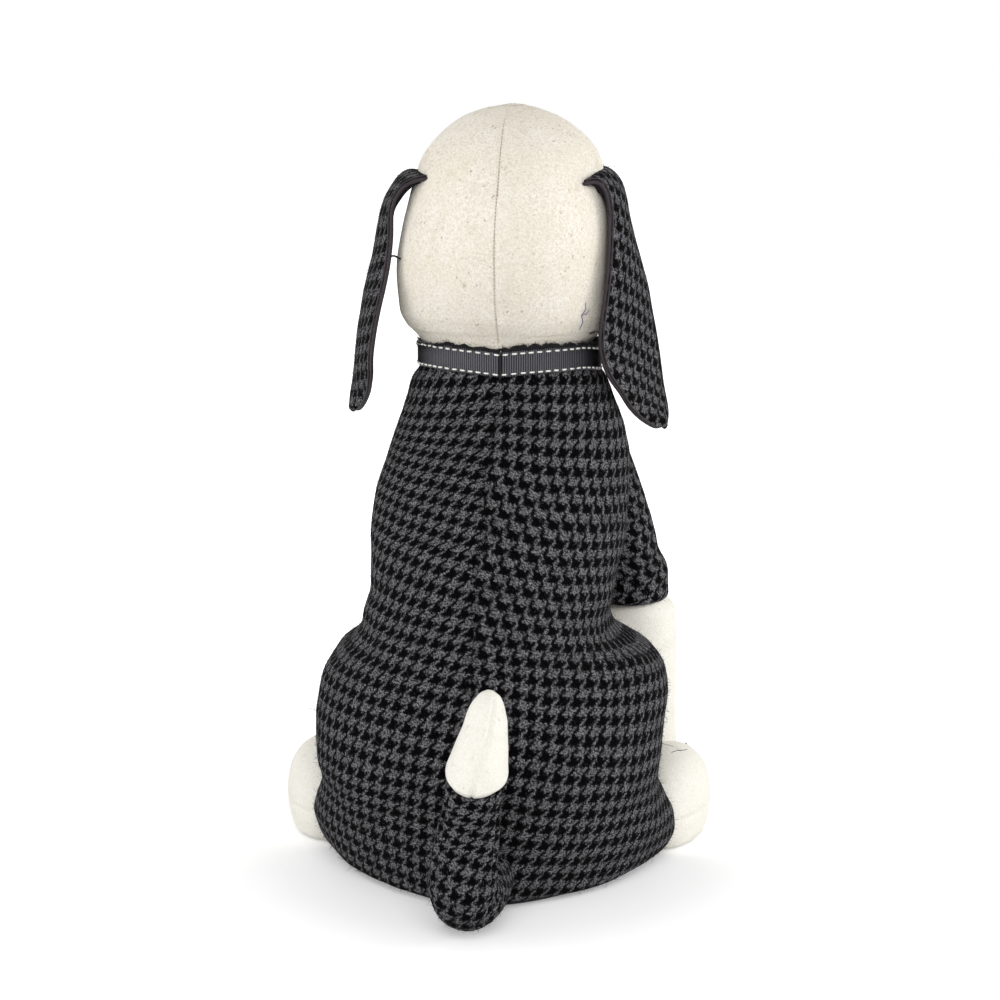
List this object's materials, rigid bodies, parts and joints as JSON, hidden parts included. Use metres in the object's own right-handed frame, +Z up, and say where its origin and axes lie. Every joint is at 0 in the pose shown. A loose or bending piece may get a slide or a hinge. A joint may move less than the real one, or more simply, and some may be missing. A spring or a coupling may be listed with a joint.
{
  "type": "dog door stop",
  "caption": "Weighted fabric door stop in the form of a sitting dog, with hanging ears, a ribbon collar and an upturned tail, flat underneath.",
  "frame": {"origin": "on the floor, at the middle of the seat's width and depth, on the underside of the base panel", "axes": "+Z up, +Y towards the dog's face, +X to the dog's right"},
  "size_m": [0.1712, 0.2151, 0.29],
  "materials": {
    "houndstooth": "matte",
    "cream_felt": "matte",
    "ear_lining": "matte",
    "ribbon": "matte",
    "base_cotton": "matte",
    "stuffing": "matte",
    "sand_bag": "matte",
    "bead": "gloss"
  },
  "bodies": {
    "root": {"back_panel_left": "houndstooth", "back_panel_right": "houndstooth", "chest_panel": "cream_felt", "base_panel": "base_cotton", "weight_bag": "sand_bag", "body_stuffing": "stuffing", "head_panel_left": "cream_felt", "head_panel_right": "cream_felt", "face_gusset": "cream_felt", "head_stuffing": "stuffing", "nose": "bead", "collar_ribbon": "ribbon", "tail_sleeve": "houndstooth", "tail_tip": "cream_felt", "tail_stuffing": "stuffing", "sleeve_left": "houndstooth", "front_leg_left": "cream_felt", "front_leg_stuffing_left": "stuffing", "hind_foot_left": "cream_felt", "hind_foot_stuffing_left": "stuffing", "ear_left_outer": "houndstooth", "ear_left_lining": "ear_lining", "eye_left": "bead", "sleeve_right": "houndstooth", "front_leg_right": "cream_felt", "front_leg_stuffing_right": "stuffing", "hind_foot_right": "cream_felt", "hind_foot_stuffing_right": "stuffing", "ear_right_outer": "houndstooth", "ear_right_lining": "ear_lining", "eye_right": "bead"}
  },
  "joints": []
}
